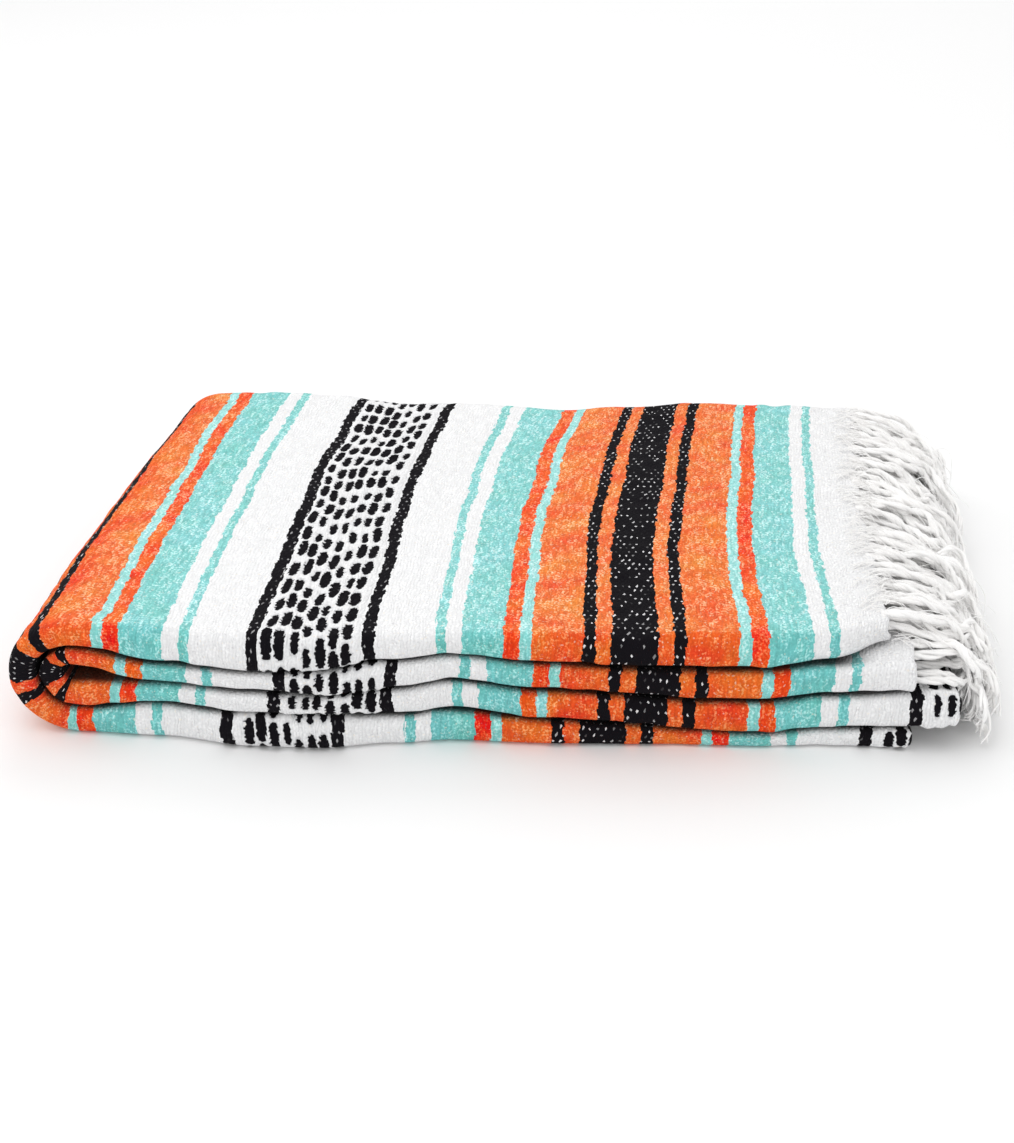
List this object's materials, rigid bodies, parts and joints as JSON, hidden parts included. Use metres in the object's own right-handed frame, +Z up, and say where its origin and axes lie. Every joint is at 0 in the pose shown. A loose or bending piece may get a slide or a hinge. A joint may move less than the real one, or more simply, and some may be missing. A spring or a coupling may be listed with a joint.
{
  "type": "folded mexican blanket",
  "caption": "Striped woven blanket with fringed ends, folded lengthwise and widthwise into a flat rectangular pack of soft plies.",
  "frame": {"origin": "middle of the footprint, on the surface that the folded blanket lies on", "axes": "+X along the pack towards the fringe, +Y towards the back bend, +Z up"},
  "size_m": [0.5575, 0.3345, 0.0682],
  "materials": {
    "woven_cloth": "matte, weft-faced weave in stripes of orange, teal, white, red and black",
    "inner_cloth": "matte woven cloth, hidden",
    "warp_fringe": "matte, twisted off-white cotton ends"
  },
  "bodies": {
    "root": {"woven_panel": "woven_cloth", "hidden_layers": "inner_cloth", "fringe_row_1": "warp_fringe", "fringe_row_2": "warp_fringe", "fringe_row_3": "warp_fringe", "fringe_row_4": "warp_fringe"}
  },
  "joints": []
}
